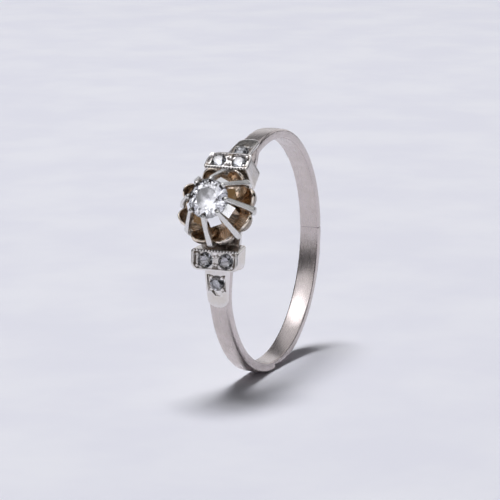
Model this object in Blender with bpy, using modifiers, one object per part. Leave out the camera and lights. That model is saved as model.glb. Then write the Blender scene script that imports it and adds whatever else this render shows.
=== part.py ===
"""Vintage white gold engagement ring with a claw-set centre diamond and six small rose-cut diamonds.

The ring is modelled head up and then turned by one empty, so that it stands on its shank with its head
tipped above the horizontal. In the head-up frame the finger hole runs along Y, +Z is the head's axis and
+X points to the upper shoulder. Polar angles are measured from the head's axis towards +X.
"""

import math

import bmesh
import bpy
from mathutils import Matrix, Vector

MM = 0.001
SOLDER_GAP = 0.02 * MM

# Stance: how far the head is tipped above the horizontal when the ring stands on its shank.
HEAD_RISE = math.radians(28.5)

# Shank
FINGER_RADIUS = 8.60 * MM
SHANK_RADIUS = 9.30 * MM
SHANK_WIDTH = 1.55 * MM
SHANK_CHAMFER = 0.10 * MM
SHANK_CROWN = 0.03 * MM
UPPER_ARM_END = math.radians(150)
LOWER_ARM_END = math.radians(118)
WORN_SEAM_RADIUS = 9.00 * MM
WORN_SEAM_REACH = math.radians(24)
CROWN_REACH = math.radians(10)
SECTION_STEP = math.radians(4.5)

# Shoulders: the tapered plates beside the blocks
SHOULDER_END = math.radians(44.5)
SHOULDER_TIP_START = math.radians(41)
SHOULDER_WIDTH = 1.90 * MM
SHOULDER_TOP = 9.68 * MM
SHOULDER_TIP = 9.43 * MM
SHOULDER_NARROW_END = math.radians(50)
SHOULDER_DRIFT = 0.13 * MM
PLATE_CHAMFER = 0.06 * MM
SHOULDER_STONE_ANGLE = math.radians(32.6)
SHOULDER_STONE_RADIUS = 0.55 * MM
SHOULDER_STONE_HEIGHT = 0.45 * MM
SHOULDER_STONE_BASE = 9.36 * MM

# Blocks: the raised boxes on each side of the head. They were soldered on by hand, each a little to
# its own side of the ring's middle, and the arms drift sideways to meet them.
BLOCK_DRIFT = 0.25 * MM
BLOCK_ANGLE = math.radians(22)
BLOCK_TOP = 10.38 * MM
BLOCK_HALF_LENGTH = 0.75 * MM
BLOCK_HALF_WIDTHS = {"upper": 1.74 * MM, "lower": 1.90 * MM}
BLOCK_SIDE_FLARES = {"upper": 0.14, "lower": -0.11}
BLOCK_FLARE = 0.227
BLOCK_OUTER_CORNER = 0.55 * MM
BLOCK_INNER_CORNER = 0.15 * MM
BLOCK_EDGE = 0.06 * MM
BLOCK_UNDERCUT = 0.60 * MM
RIM_WIDTH = 0.13 * MM
BLOCK_RECESS_BACK = -0.62 * MM
BLOCK_RECESS_FRONT = 0.64 * MM
BLOCK_RECESS_HALF_WIDTH = 1.65 * MM
BLOCK_RECESS_DEPTH = 0.12 * MM
BLOCK_STONE_OFFSET = 0.82 * MM
BLOCK_STONE_RADIUS = 0.575 * MM
BLOCK_STONE_HEIGHT = 0.50 * MM
BLOCK_STONE_BASE = 9.97 * MM
GRAIN_RADIUS = 0.14 * MM
GRAIN_LIFT = 0.03 * MM
GRAIN_REACH = 0.42 * MM
GRAIN_MIDDLE_REACH = 0.33 * MM
GRAIN_INSET = 0.17 * MM
LIGHT_HOLE_RADIUS = 0.36 * MM
SEAT_CLEARANCE = 0.025 * MM

# Head: bridge, base ring, fluted cup, collet, claws and centre stone
BRIDGE_RADIUS = 8.95 * MM
BRIDGE_HALF_WIDTH = 1.55 * MM
BRIDGE_STEPS = 8
BRIDGE_END_TO_BLOCK = math.radians(7)
BASE_RING_OUTER = 1.65 * MM
LIGHT_BORE_RADIUS = 1.03 * MM
CUP_BOTTOM = 9.17 * MM
CUP_WALL = 0.20 * MM
PETALS = 8
PETAL_PITCH = 2 * math.pi / PETALS
CUP_FOOT_RADIUS = 1.50 * MM
CUP_FLOOR = 0.10 * MM
# in millimetres: height beside a claw, radius in the middle of a petal, radius in the slot behind a claw
# and how far the petal's middle arches above its sides
CUP_PROFILE = [
    (9.17, 1.95, 1.66, 0.0),
    (9.40, 2.40, 1.98, 0.02),
    (9.65, 2.80, 2.28, 0.08),
    (9.90, 3.00, 2.52, 0.22),
    (10.12, 3.05, 2.62, 0.42),
    (10.24, 2.98, 2.64, 0.56),
]
SLOT_HALF_ANGLE = math.radians(5.5)
# in millimetres: height and radius to the middle of a facet, from the top down outside, then up inside
COLLET_PROFILE = [
    (12.00, 1.46),
    (11.35, 1.80),
    (11.20, 1.62),
    (9.17, 1.36),
    (9.17, 1.03),
    (11.72, 1.03),
    (12.00, 1.34),
]
CLAW_THICKNESS = 0.28 * MM
# in millimetres: radius, height and width of a claw along its middle
CLAW_PATH = [
    (2.17, 9.30, 0.36),
    (2.46, 9.56, 0.39),
    (2.70, 9.82, 0.42),
    (2.84, 10.08, 0.45),
    (2.82, 10.38, 0.45),
    (2.58, 10.76, 0.43),
    (2.24, 11.32, 0.39),
    (1.86, 11.92, 0.35),
    (1.68, 12.20, 0.32),
    (1.54, 12.40, 0.29),
    (1.40, 12.50, 0.23),
]
GIRDLE_RADIUS = 1.50 * MM
GIRDLE_LOW = 12.15 * MM
GIRDLE_HIGH = 12.21 * MM
TABLE_RADIUS = 0.82 * MM
TABLE_HEIGHT = 12.64 * MM
CULET_RADIUS = 0.12 * MM
CULET_HEIGHT = 11.03 * MM

ROUND_STEPS = 32
FINGER_STEPS = 96


# ---------------------------------------------------------------- scene, materials and empties


def clear_scene():
    for obj in list(bpy.data.objects):
        bpy.data.objects.remove(obj, do_unlink=True)


def material(name, colour, roughness, metallic, transmission=0.0):
    made = bpy.data.materials.new(name)
    made.use_nodes = True
    shader = made.node_tree.nodes["Principled BSDF"]
    shader.inputs["Base Color"].default_value = (*colour, 1)
    shader.inputs["Roughness"].default_value = roughness
    shader.inputs["Metallic"].default_value = metallic
    shader.inputs["Transmission Weight"].default_value = transmission
    made.diffuse_color = (*colour, 1)
    return made


def empty(name, rotation=(0, 0, 0), parent=None, location=(0, 0, 0)):
    made = bpy.data.objects.new(name, None)
    made.location = location
    made.rotation_euler = rotation
    made.parent = parent
    ring.objects.link(made)
    return made


def node(name, mesh, slot, parent, rotation=(0, 0, 0)):
    """One solid of the ring, in the frame of its parent."""
    made = bpy.data.objects.new(name, mesh)
    made.rotation_euler = rotation
    made.parent = parent
    ring.objects.link(made)
    if not mesh.materials:
        mesh.materials.append(slot)
    return made


# ---------------------------------------------------------------- mesh tools


def mesh_of(bm, name, sharp=math.radians(30)):
    bmesh.ops.recalc_face_normals(bm, faces=bm.faces)
    mesh = bpy.data.meshes.new(name)
    bm.to_mesh(mesh)
    bm.free()
    mesh.shade_smooth()
    mesh.set_sharp_from_angle(angle=sharp)
    return mesh


def loft(name, rings, closed=False):
    """Skins rings of points. Open lofts are capped; a closed one joins its last ring to its first."""
    bm = bmesh.new()
    rows = [[bm.verts.new(point) for point in points] for points in rings]
    pairs = list(zip(rows, rows[1:] + rows[:1])) if closed else list(zip(rows, rows[1:]))
    for low, high in pairs:
        for i, corner in enumerate(low):
            j = (i + 1) % len(low)
            bm.faces.new((corner, low[j], high[j], high[i]))
    if not closed:
        bm.faces.new(rows[0])
        bm.faces.new(rows[-1])
    return mesh_of(bm, name)


def hull(name, points):
    """A cut stone: the flat facets of the convex shape round its corners."""
    bm = bmesh.new()
    for point in points:
        bm.verts.new(point)
    bmesh.ops.convex_hull(bm, input=bm.verts)
    bmesh.ops.dissolve_limit(bm, angle_limit=math.radians(1), verts=bm.verts, edges=bm.edges)
    return mesh_of(bm, name, sharp=math.radians(2))


def round_bar(radius, low, high, matrix=Matrix()):
    """A cylinder along Z from low to high, moved by matrix."""
    bm = bmesh.new()
    bmesh.ops.create_cone(
        bm,
        cap_ends=True,
        segments=ROUND_STEPS,
        radius1=radius,
        radius2=radius,
        depth=high - low,
        matrix=matrix @ Matrix.Translation((0, 0, (low + high) / 2)),
    )
    return mesh_of(bm, "round_bar")


def finger_bar(radius):
    """A cylinder along Y round the ring's centre, longer than the ring is wide."""
    bm = bmesh.new()
    bmesh.ops.create_cone(
        bm,
        cap_ends=True,
        segments=FINGER_STEPS,
        radius1=radius,
        radius2=radius,
        depth=FINGER_RADIUS,
        matrix=Matrix.Rotation(math.pi / 2, 4, "X"),
    )
    return mesh_of(bm, "finger_bar")


def box_between(low, high):
    """An upright box between two opposite corners."""
    bm = bmesh.new()
    middle = (Vector(low) + Vector(high)) / 2
    sides = Vector(high) - Vector(low)
    bmesh.ops.create_cube(bm, size=1, matrix=Matrix.Translation(middle) @ Matrix.Diagonal((*sides, 1)))
    return mesh_of(bm, "box")


def ball(radius, place):
    """A raised grain, rounded by its icosphere's two subdivisions."""
    bm = bmesh.new()
    bmesh.ops.create_icosphere(bm, subdivisions=2, radius=radius, matrix=Matrix.Translation(place))
    return mesh_of(bm, "ball")


def combined(mesh, tools, operation="DIFFERENCE"):
    """mesh with each tool mesh cut from it, or joined to it."""
    body = bpy.data.objects.new("body", mesh)
    bpy.context.scene.collection.objects.link(body)
    helpers = []
    for tool in tools:
        helper = bpy.data.objects.new("helper", tool)
        cutters.objects.link(helper)
        helpers.append(helper)
        step = body.modifiers.new("combine", "BOOLEAN")
        step.operation = operation
        step.object = helper
    graph = bpy.context.evaluated_depsgraph_get()
    result = bpy.data.meshes.new_from_object(body.evaluated_get(graph))
    for helper in [body, *helpers]:
        bpy.data.objects.remove(helper)
    result.shade_smooth()
    result.set_sharp_from_angle(angle=math.radians(30))
    return result


def polar_point(radius, angle, height):
    """A point round the head's axis."""
    return Vector((radius * math.cos(angle), radius * math.sin(angle), height))


def turned_to(angle):
    """Turns the head's axis to a polar angle of the ring."""
    return Matrix.Rotation(angle, 4, "Y")


def eased(share):
    """0 to 1 with level ends, for widths and thicknesses that change along the shank."""
    share = min(max(share, 0.0), 1.0)
    return share * share * (3 - 2 * share)


# ---------------------------------------------------------------- shank, insert and shoulders


def band_section(inner, outer, width, cut, chamfer=SHANK_CHAMFER, crown=0.0, drift=0.0):
    """The cross-section of a band. cut is its polar angle, or a function that gives the angle at a radius."""
    angle_at = cut if callable(cut) else lambda radius: cut
    half = width / 2
    outline = [
        (inner, -half + chamfer),
        (inner + chamfer, -half),
        (outer - chamfer, -half),
        (outer, -half + chamfer),
        (outer + crown, 0),
        (outer, half - chamfer),
        (outer - chamfer, half),
        (inner + chamfer, half),
        (inner, half - chamfer),
    ]
    return [
        Vector((r * math.sin(angle_at(r)), y + drift, r * math.cos(angle_at(r))))
        for r, y in outline
    ]


def steps_between(start, end):
    count = max(2, round(abs(end - start) / SECTION_STEP))
    return [start + (end - start) * i / count for i in range(1, count + 1)]


def past_shoulder(angle):
    return eased((angle - BLOCK_ANGLE) / (SHOULDER_NARROW_END - BLOCK_ANGLE))


def arm_width(angle):
    return SHOULDER_WIDTH + (SHANK_WIDTH - SHOULDER_WIDTH) * past_shoulder(angle)


def arm_drift(angle):
    return SHOULDER_DRIFT * (1 - past_shoulder(angle))


def shoulder_hole(radius, low, high):
    """A bar through the middle of the shoulder's stone."""
    sideways = Matrix.Translation((0, arm_drift(SHOULDER_STONE_ANGLE), 0))
    return round_bar(radius, low, high, sideways @ turned_to(SHOULDER_STONE_ANGLE))


def arm_mesh(end):
    """From the block's outer wall to a square-cut end at the sizing insert."""
    rings = []
    for angle in [BLOCK_ANGLE, *steps_between(BLOCK_ANGLE, end)]:
        crown = SHANK_CROWN * eased((angle - SHOULDER_END) / CROWN_REACH)
        shape = (FINGER_RADIUS, SHANK_RADIUS, arm_width(angle), angle)
        rings.append(band_section(*shape, crown=crown, drift=arm_drift(angle)))
    hole = shoulder_hole(LIGHT_HOLE_RADIUS, FINGER_RADIUS - MM, SHANK_RADIUS + MM)
    return combined(loft("arm", rings), [hole, block_space()])


def insert_mesh():
    """Round the back of the shank, filed thin where it meets the lower arm."""
    clearance = SOLDER_GAP / FINGER_RADIUS
    start = -LOWER_ARM_END - clearance
    end = -2 * math.pi + UPPER_ARM_END + clearance
    rings = []
    for angle in [start, *steps_between(start, end)]:
        share = eased((start - angle) / WORN_SEAM_REACH)
        outer = WORN_SEAM_RADIUS + (SHANK_RADIUS - WORN_SEAM_RADIUS) * share
        rings.append(band_section(FINGER_RADIUS, outer, SHANK_WIDTH, angle, crown=SHANK_CROWN))
    return loft("sizing_insert", rings)


def shoulder_mesh():
    """A plate on the arm that narrows to a rounded tip, drilled for its stone."""
    floor = SHANK_RADIUS + SOLDER_GAP
    rings = []
    for angle in [BLOCK_ANGLE, *steps_between(BLOCK_ANGLE, SHOULDER_TIP_START)]:
        share = eased((angle - BLOCK_ANGLE) / (SHOULDER_END - BLOCK_ANGLE))
        top = SHOULDER_TOP + (SHOULDER_TIP - SHOULDER_TOP) * share
        rings.append(
            band_section(floor, top, arm_width(angle), angle, PLATE_CHAMFER, drift=arm_drift(angle))
        )
    for share in (0.4, 0.75, 0.95):
        angle = SHOULDER_TIP_START + (SHOULDER_END - SHOULDER_TIP_START) * share
        width = arm_width(angle) * math.sqrt(1 - share * share)
        top = SHOULDER_TIP - PLATE_CHAMFER * share
        rings.append(band_section(floor, top, width, angle, PLATE_CHAMFER / 2, drift=arm_drift(angle)))
    seat = shoulder_hole(SHOULDER_STONE_RADIUS + SEAT_CLEARANCE, FINGER_RADIUS, SHOULDER_TOP + MM)
    return combined(loft("shoulder", rings), [seat, block_space()])


# ---------------------------------------------------------------- blocks


def rounded_outline(back, front, half, height):
    """A rectangle in X and Y with small corners at the back and large ones at the front."""
    points = []
    for x, y, radius, start, count in (
        (back, -half, BLOCK_INNER_CORNER, 180, 2),
        (front, -half, BLOCK_OUTER_CORNER, 270, 5),
        (front, half, BLOCK_OUTER_CORNER, 0, 5),
        (back, half, BLOCK_INNER_CORNER, 90, 2),
    ):
        middle = Vector((x + math.copysign(radius, -x), y + math.copysign(radius, -y), height))
        for i in range(count + 1):
            turn = math.radians(start + 90 * i / count)
            points.append(middle + radius * Vector((math.cos(turn), math.sin(turn), 0)))
    return points


def block_space():
    """The room that a block takes up at the end of the upper arm, with a gap for the solder."""
    front = BLOCK_HALF_LENGTH + SOLDER_GAP
    box = box_between((-BLOCK_TOP, -BLOCK_TOP, 0), (front, BLOCK_TOP, 2 * BLOCK_TOP))
    box.transform(turned_to(BLOCK_ANGLE))
    return box


def block_mesh(half, flare):
    """A box that flares out towards the head, with a recess, two stone seats and raised grains."""
    depth = BLOCK_TOP - FINGER_RADIUS + BLOCK_UNDERCUT
    front = BLOCK_HALF_LENGTH
    box = loft(
        "block",
        [
            rounded_outline(-front - BLOCK_FLARE * depth, front, half + flare * depth, BLOCK_TOP - depth),
            rounded_outline(-front - BLOCK_FLARE * BLOCK_EDGE, front, half, BLOCK_TOP - BLOCK_EDGE),
            rounded_outline(-front + BLOCK_EDGE, front - BLOCK_EDGE, half - BLOCK_EDGE, BLOCK_TOP),
        ],
    )
    side = min(BLOCK_RECESS_HALF_WIDTH, half - RIM_WIDTH)
    floor = BLOCK_TOP - BLOCK_RECESS_DEPTH
    corners = (BLOCK_RECESS_BACK, -side, floor), (BLOCK_RECESS_FRONT, side, BLOCK_TOP + MM)
    tools = [finger_bar(FINGER_RADIUS), box_between(*corners)]
    for y in (-BLOCK_STONE_OFFSET, BLOCK_STONE_OFFSET):
        place = Matrix.Translation((0, y, 0))
        tools.append(round_bar(LIGHT_HOLE_RADIUS, 0.5 * FINGER_RADIUS, BLOCK_TOP, place))
        seat_floor = BLOCK_STONE_BASE - SOLDER_GAP
        tools.append(round_bar(BLOCK_STONE_RADIUS + SEAT_CLEARANCE, seat_floor, BLOCK_TOP + MM, place))
    corner = side - GRAIN_INSET
    grains = [
        ball(GRAIN_RADIUS, (x, y, floor + GRAIN_LIFT))
        for y, reach in ((0, GRAIN_MIDDLE_REACH), (corner, GRAIN_REACH), (-corner, GRAIN_REACH))
        for x in (-reach, reach)
    ]
    return combined(combined(box, tools), grains, "UNION")


# ---------------------------------------------------------------- head


def bridge_end(radius):
    """Polar angle at a radius of the flat cut that meets the block's flared inner wall."""
    depth = BLOCK_TOP - radius * math.cos(BRIDGE_END_TO_BLOCK)
    reach = BLOCK_HALF_LENGTH + BLOCK_FLARE * depth + 1.5 * SOLDER_GAP
    return BLOCK_ANGLE - math.asin(reach / radius)


def bridge_mesh():
    """A curved strap from block to block under the head, pierced to let light reach the stone."""
    rings = []
    for i in range(BRIDGE_STEPS + 1):
        share = 2 * i / BRIDGE_STEPS - 1
        rings.append(
            band_section(
                FINGER_RADIUS,
                BRIDGE_RADIUS,
                2 * BRIDGE_HALF_WIDTH,
                lambda radius: share * bridge_end(radius),
                PLATE_CHAMFER,
            )
        )
    return combined(loft("bridge", rings), [light_bore()])


def light_bore():
    """The hole that runs from the finger hole up to the centre stone."""
    return round_bar(LIGHT_BORE_RADIUS, 0.5 * FINGER_RADIUS, CUP_BOTTOM + MM)


def base_ring_mesh():
    """A short tube saddled onto the bridge, which carries the cup and the collet."""
    tube = round_bar(BASE_RING_OUTER, FINGER_RADIUS, CUP_BOTTOM - SOLDER_GAP)
    return combined(tube, [light_bore(), finger_bar(BRIDGE_RADIUS + SOLDER_GAP)])


def petal_angles():
    """Angles round the cup with True on a petal, False in a claw's slot."""
    petal_half = PETAL_PITCH / 2 - SLOT_HALF_ANGLE
    angles = []
    for i in range(PETALS):
        slot, middle = i * PETAL_PITCH, (i + 0.5) * PETAL_PITCH
        angles += [(slot - 0.9 * SLOT_HALF_ANGLE, False), (slot + 0.9 * SLOT_HALF_ANGLE, False)]
        angles += [(middle + share * petal_half, True) for share in (-1, -0.66, -0.33, 0, 0.33, 0.66, 1)]
    return angles


def petal_radius(angle, middle, slot):
    """Radius at an angle of the round arc through a petal's middle and the slots on both sides of it."""
    half = PETAL_PITCH / 2 - SLOT_HALF_ANGLE
    rise = middle - slot * math.cos(half)
    arc = (rise**2 + (slot * math.sin(half)) ** 2) / (2 * rise)
    off = angle % PETAL_PITCH - PETAL_PITCH / 2
    centre = middle - arc
    return centre * math.cos(off) + math.sqrt(arc**2 - (centre * math.sin(off)) ** 2)


def cup_ring(height, middle, slot, arch=0.0, inset=0.0):
    points = []
    for angle, on_petal in petal_angles():
        radius = petal_radius(angle, middle, slot) if on_petal else slot
        off = (angle % PETAL_PITCH - PETAL_PITCH / 2) / (PETAL_PITCH / 2 - SLOT_HALF_ANGLE)
        rise = arch * max(0.0, 1 - off**2)
        points.append(polar_point(radius - inset, angle, height + rise))
    return points


def foot_ring(height):
    return [polar_point(CUP_FOOT_RADIUS, angle, height) for angle, _ in petal_angles()]


def cup_mesh():
    """A thin shell with one arched flute for each gap between claws, and a floor round the collet."""
    levels = [tuple(length * MM for length in level) for level in CUP_PROFILE]
    outside = [cup_ring(*level) for level in levels]
    inside = [cup_ring(*level, CUP_WALL) for level in reversed(levels[1:])]
    foot = [foot_ring(CUP_BOTTOM + CUP_FLOOR), foot_ring(CUP_BOTTOM)]
    return loft("cup", outside + inside + foot, closed=True)


def collet_node(parent):
    """The eight-sided illusion collet: bright facets round the stone, open inside for its point."""
    bm = bmesh.new()
    corner = 1 / math.cos(PETAL_PITCH / 2)
    points = [bm.verts.new((radius * corner * MM, 0, height * MM)) for height, radius in COLLET_PROFILE]
    for point, following in zip(points, points[1:] + points[:1]):
        bm.edges.new((point, following))
    profile = bpy.data.meshes.new("illusion_collet")
    bm.to_mesh(profile)
    bm.free()
    collet = node("illusion_collet", profile, setting_gold, parent)
    turn = collet.modifiers.new("turn", "SCREW")
    turn.steps = PETALS
    turn.render_steps = PETALS
    turn.use_smooth_shade = False


def claw_mesh():
    """A flat strip up the cup's slot and inwards over the stone's edge, in the XZ plane."""
    path = [Vector((r * MM, 0, h * MM)) for r, h, _ in CLAW_PATH]
    rings = []
    for i, point in enumerate(path):
        along = (path[min(i + 1, len(path) - 1)] - path[max(i - 1, 0)]).normalized()
        across = Vector((along.z, 0, -along.x))
        tip = 0.6 if i == len(path) - 1 else 1.0
        half_width = CLAW_PATH[i][2] * MM / 2 * tip
        half = CLAW_THICKNESS / 2 * tip
        corner = 0.3 * half
        outline = [
            (half - corner, -half_width),
            (half, -half_width + corner),
            (half, half_width - corner),
            (half - corner, half_width),
            (-half + corner, half_width),
            (-half, half_width - corner),
            (-half, -half_width + corner),
            (-half + corner, -half_width),
        ]
        rings.append([point + across * n + Vector((0, y, 0)) for n, y in outline])
    return loft("claw", rings)


def ring_points(radius, height, count, start=0.0):
    return [polar_point(radius, start + 2 * math.pi * i / count, height) for i in range(count)]


def brilliant_mesh():
    """An old brilliant cut: table, stars, kites, girdle, pavilion and a small open culet."""
    half = PETAL_PITCH / 2
    star_radius = 0.5 * (TABLE_RADIUS + GIRDLE_RADIUS)
    crown_slope = (TABLE_HEIGHT - GIRDLE_HIGH) / (GIRDLE_RADIUS - TABLE_RADIUS)
    star_height = GIRDLE_HIGH + (GIRDLE_RADIUS - star_radius * math.cos(half)) * crown_slope
    lower_radius = 0.5 * GIRDLE_RADIUS
    pavilion_slope = (GIRDLE_LOW - CULET_HEIGHT) / (GIRDLE_RADIUS - CULET_RADIUS)
    lower_height = GIRDLE_LOW - (GIRDLE_RADIUS - lower_radius * math.cos(half)) * pavilion_slope
    points = ring_points(TABLE_RADIUS, TABLE_HEIGHT, PETALS)
    points += ring_points(star_radius, star_height, PETALS, half)
    points += ring_points(GIRDLE_RADIUS, GIRDLE_HIGH, 2 * PETALS)
    points += ring_points(GIRDLE_RADIUS, GIRDLE_LOW, 2 * PETALS)
    points += ring_points(lower_radius, lower_height, PETALS, half)
    points += ring_points(CULET_RADIUS, CULET_HEIGHT, PETALS)
    return hull("brilliant", points)


def rose_mesh(radius, height, base, offset=0.0):
    """A rose cut: a flat base and a dome of triangular facets that meet in a point, offset along Y."""
    points = ring_points(radius, base, 12)
    points += ring_points(radius, base + 0.12 * height, 12)
    points += ring_points(0.62 * radius, base + 0.72 * height, 6, math.radians(15))
    points.append(Vector((0, 0, base + height)))
    return hull("rose", [point + Vector((0, offset, 0)) for point in points])


# ---------------------------------------------------------------- assembly

clear_scene()
ring = bpy.data.collections.new("engagement_ring")
cutters = bpy.data.collections.new("cutters")
for collection in (ring, cutters):
    bpy.context.scene.collection.children.link(collection)

shank_gold = material("shank_gold", (0.66, 0.62, 0.61), 0.30, 1.0)
setting_gold = material("setting_gold", (0.74, 0.72, 0.70), 0.22, 1.0)
cup_gold = material("cup_gold", (0.62, 0.52, 0.40), 0.25, 1.0)
diamond = material("diamond", (0.96, 0.97, 1.0), 0.02, 0.0, 1.0)

stance = empty("stance", (0, HEAD_RISE - math.pi / 2, 0))
sides = {"upper": stance, "lower": empty("lower_side", (0, 0, math.pi), stance)}

node("upper_arm", arm_mesh(UPPER_ARM_END), shank_gold, sides["upper"])
node("lower_arm", arm_mesh(LOWER_ARM_END), shank_gold, sides["lower"])
node("sizing_insert", insert_mesh(), shank_gold, stance)

shared_shoulder = shoulder_mesh()
shoulder_stone = rose_mesh(SHOULDER_STONE_RADIUS, SHOULDER_STONE_HEIGHT, SHOULDER_STONE_BASE)
block_stones = {
    place: rose_mesh(BLOCK_STONE_RADIUS, BLOCK_STONE_HEIGHT, BLOCK_STONE_BASE, offset)
    for place, offset in (("left", BLOCK_STONE_OFFSET), ("right", -BLOCK_STONE_OFFSET))
}
for side, parent in sides.items():
    shoulder_offset = (0, arm_drift(SHOULDER_STONE_ANGLE), 0)
    seat = empty(f"{side}_shoulder_seat", (0, SHOULDER_STONE_ANGLE, 0), parent, shoulder_offset)
    node(f"{side}_shoulder", shared_shoulder, setting_gold, parent)
    node(f"{side}_shoulder_diamond", shoulder_stone, diamond, seat)
    block_axis = empty(f"{side}_block_axis", (0, BLOCK_ANGLE, 0), parent, (0, BLOCK_DRIFT, 0))
    block = block_mesh(BLOCK_HALF_WIDTHS[side], BLOCK_SIDE_FLARES[side])
    node(f"{side}_block", block, setting_gold, block_axis)
    for place, stone in block_stones.items():
        node(f"{side}_block_diamond_{place}", stone, diamond, block_axis)

node("bridge", bridge_mesh(), setting_gold, stance)
node("base_ring", base_ring_mesh(), setting_gold, stance)
node("cup", cup_mesh(), cup_gold, stance)
collet_node(stance)
node("centre_diamond", brilliant_mesh(), diamond, stance)
shared_claw = claw_mesh()
for index in range(PETALS):
    node(f"claw_{index + 1}", shared_claw, setting_gold, stance, (0, 0, index * PETAL_PITCH))

bpy.context.view_layer.update()
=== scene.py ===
"""Looks of a vintage white gold engagement ring: a claw-set centre diamond in a fluted cup, two stone-set
blocks with milgrain edges, and tapered shoulders. The ring's lengths are millimetres; names that end in _M,
the camera and the lamps are in metres.
"""

import math

import bmesh
import bpy
import numpy as np
from mathutils import Matrix, Vector, noise
from mathutils.bvhtree import BVHTree


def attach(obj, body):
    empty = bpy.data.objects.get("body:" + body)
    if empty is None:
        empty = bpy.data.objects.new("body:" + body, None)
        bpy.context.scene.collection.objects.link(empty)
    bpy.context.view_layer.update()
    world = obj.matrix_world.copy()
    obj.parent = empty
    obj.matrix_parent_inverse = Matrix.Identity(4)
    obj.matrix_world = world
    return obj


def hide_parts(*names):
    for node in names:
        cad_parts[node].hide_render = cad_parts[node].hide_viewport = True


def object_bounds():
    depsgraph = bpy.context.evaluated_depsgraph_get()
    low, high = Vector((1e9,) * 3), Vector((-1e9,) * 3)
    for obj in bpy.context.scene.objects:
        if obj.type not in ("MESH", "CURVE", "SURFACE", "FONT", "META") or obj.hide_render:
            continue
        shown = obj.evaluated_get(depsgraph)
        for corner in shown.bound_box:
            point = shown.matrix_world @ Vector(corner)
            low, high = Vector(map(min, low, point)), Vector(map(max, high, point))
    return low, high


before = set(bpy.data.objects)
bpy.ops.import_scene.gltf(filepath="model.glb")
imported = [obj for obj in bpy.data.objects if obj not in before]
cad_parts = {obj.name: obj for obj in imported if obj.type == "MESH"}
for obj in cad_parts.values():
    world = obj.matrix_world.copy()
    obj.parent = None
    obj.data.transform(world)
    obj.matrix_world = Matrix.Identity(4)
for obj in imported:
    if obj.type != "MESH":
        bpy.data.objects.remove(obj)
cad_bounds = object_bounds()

MM = 0.001

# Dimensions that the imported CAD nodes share: angles are degrees round the finger from the head's axis, and
# heights are measured along that axis from the middle of the finger hole
FINGER_RADIUS = 8.60
SHANK_RADIUS = 9.30
SHANK_WIDTH = 1.55
UPPER_ARM_END = 150.0
LOWER_ARM_END = 118.0
WORN_SEAM_RADIUS = 9.00
WORN_SEAM_REACH = 24.0
SHOULDER_END = 44.5
SHOULDER_TIP_START = 41.0
SHOULDER_WIDTH = 1.90
SHOULDER_TOP = 9.68
SHOULDER_TIP = 9.43
SHOULDER_NARROW_END = 50.0
SHOULDER_DRIFT = 0.13
SHOULDER_STONE_ANGLE = 32.6
SHOULDER_STONE_RADIUS = 0.55
BLOCK_DRIFT = 0.25
BLOCK_ANGLE = 22.0
BLOCK_TOP = 10.38
BLOCK_HALF_LENGTH = 0.75
BLOCK_HALF_WIDTHS = {"upper": 1.74, "lower": 1.90}
BLOCK_SIDE_FLARES = {"upper": 0.14, "lower": -0.11}
BLOCK_FAR_ROUNDS = {"upper": 0.95, "lower": None}
BLOCK_FLARE = 0.227
BLOCK_DEPTH = BLOCK_TOP - FINGER_RADIUS + 0.60
RECESS_BACK = -0.62
RECESS_FRONT = 0.64
BLOCK_STONE_OFFSET = 0.82
BLOCK_STONE_RADIUS = 0.575
BLOCK_STONE_BASE = 9.97
STONE_HOLE_RADIUS = 0.36
BRIDGE_RADIUS = 8.95
BRIDGE_HALF_WIDTH = 1.55
BORE_RADIUS = 1.03
CUP_BOTTOM = 9.17
PETALS = 8
PITCH = 2 * math.pi / PETALS
SLOT_HALF = math.radians(5.5)
# height beside a claw, radius in a petal's middle, radius in a claw's slot, arch of the petal
CUP_PROFILE = (
    (9.17, 1.95, 1.66, 0.0),
    (9.40, 2.40, 1.98, 0.02),
    (9.65, 2.80, 2.28, 0.08),
    (9.90, 3.00, 2.52, 0.22),
    (10.12, 3.05, 2.62, 0.42),
    (10.24, 2.98, 2.64, 0.56),
)
CLAW_THICKNESS = 0.28
# distance from the head's axis, height, width
CLAW_PATH = (
    (2.17, 9.30, 0.36),
    (2.46, 9.56, 0.39),
    (2.70, 9.82, 0.42),
    (2.84, 10.08, 0.45),
    (2.82, 10.38, 0.45),
    (2.58, 10.76, 0.43),
    (2.24, 11.32, 0.39),
    (1.86, 11.92, 0.35),
    (1.68, 12.20, 0.32),
    (1.54, 12.40, 0.29),
    (1.40, 12.50, 0.23),
)
GIRDLE_RADIUS = 1.50
GIRDLE_LOW = 12.15
GIRDLE_HIGH = 12.21
TABLE_RADIUS = 0.82
TABLE_HEIGHT = 12.64
CULET_RADIUS = 0.12
CULET_HEIGHT = 11.03

# Finer detail of the looks
UPPER_ARM_FLARE = 0.42
BAND_CROWN = 0.03
BAND_WEAR = 0.02
# corner radii inside and outside
ARM_ROUNDS = (0.11, 0.19)
INSERT_ROUNDS = (0.11, 0.17)
RECESS_DEPTH = 0.20
RECESS_HALF_LIMIT = 1.65
RECESS_RIM = 0.13
SHOULDER_PLATE_DROP = 0.09
SHOULDER_RECESS_DEPTH = 0.15
SHOULDER_NOTCH_DEPTH = 0.24
SEAT_GAP = 0.02
BLOCK_WEAR_VOXEL = 0.05
BLOCK_WEAR_PASSES = 5
MILGRAIN_BEADS = 15
MILGRAIN_RADIUS = 0.097
MILGRAIN_STEP = 0.11
MILGRAIN_STEP_EDGE = 0.085
MILGRAIN_HALF_LIMIT = 1.72
MILGRAIN_RIM = 0.06
GRAIN_LIFT = 0.09
CUP_WALL = 0.16
CUP_LIP = 0.08
CUP_FOOT_RADIUS = 1.36
# what follows the last point of CLAW_PATH, down over the stone's edge
CLAW_TIP = ((1.31, 12.47, 0.23), (1.25, 12.40, 0.20))
CLAW_BEAD_RADIUS = 0.205
CLAW_BEAD_PLACE = (1.47, 0, 12.45)
# how far from the head's axis the claw's tip is painted dark: painted shade where the tip meets the stone
CLAW_TIP_SHADE_REACH = 1.44
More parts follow.
